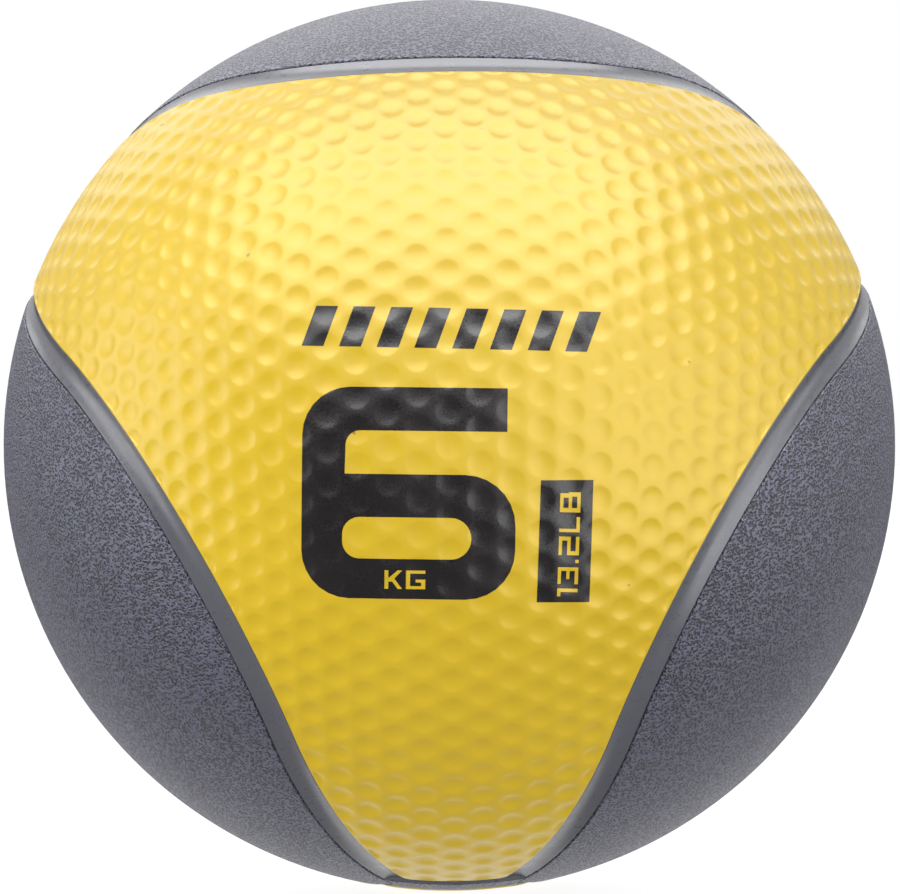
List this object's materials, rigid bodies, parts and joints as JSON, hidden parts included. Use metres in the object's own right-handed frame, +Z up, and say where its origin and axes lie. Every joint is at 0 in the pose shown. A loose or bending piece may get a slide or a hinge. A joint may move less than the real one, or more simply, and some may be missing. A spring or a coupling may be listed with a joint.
{
  "type": "medicine ball",
  "caption": "Round rubber medicine ball with dimpled panels and grained grip pads set between recessed channels, over a wound, air-filled core with a needle valve.",
  "frame": {"origin": "centre of the ball", "axes": "+Z up as the ball rests, -Y towards the viewer of the front panel, +X to that viewer's right; the front panel's middle looks 12.5 degrees above -Y"},
  "size_m": [0.24, 0.2398, 0.2398],
  "materials": {
    "panel_rubber": "semi-gloss yellow moulded rubber with shallow round dimples",
    "channel_rubber": "smooth satin blue-grey moulded rubber",
    "pad_rubber": "blue-grey moulded rubber with a fine leather grain",
    "carcass_rubber": "matt black heavy filled rubber",
    "nylon_thread": "natural nylon thread, wound and coated",
    "bladder_rubber": "smooth black butyl rubber",
    "valve_rubber": "soft black rubber",
    "print_ink": "semi-gloss black printing ink, a film that only the looks show"
  },
  "bodies": {
    "root": {"front_panel": "panel_rubber", "rear_panel": "panel_rubber", "front_channel": "channel_rubber", "rear_channel": "channel_rubber", "top_grip_pad": "pad_rubber", "right_grip_pad": "pad_rubber", "left_grip_pad": "pad_rubber", "front_carcass": "carcass_rubber", "rear_carcass": "carcass_rubber", "thread_winding": "nylon_thread", "bladder": "bladder_rubber", "valve_patch": "bladder_rubber", "valve_housing": "valve_rubber", "valve_plug": "valve_rubber"}
  },
  "joints": []
}
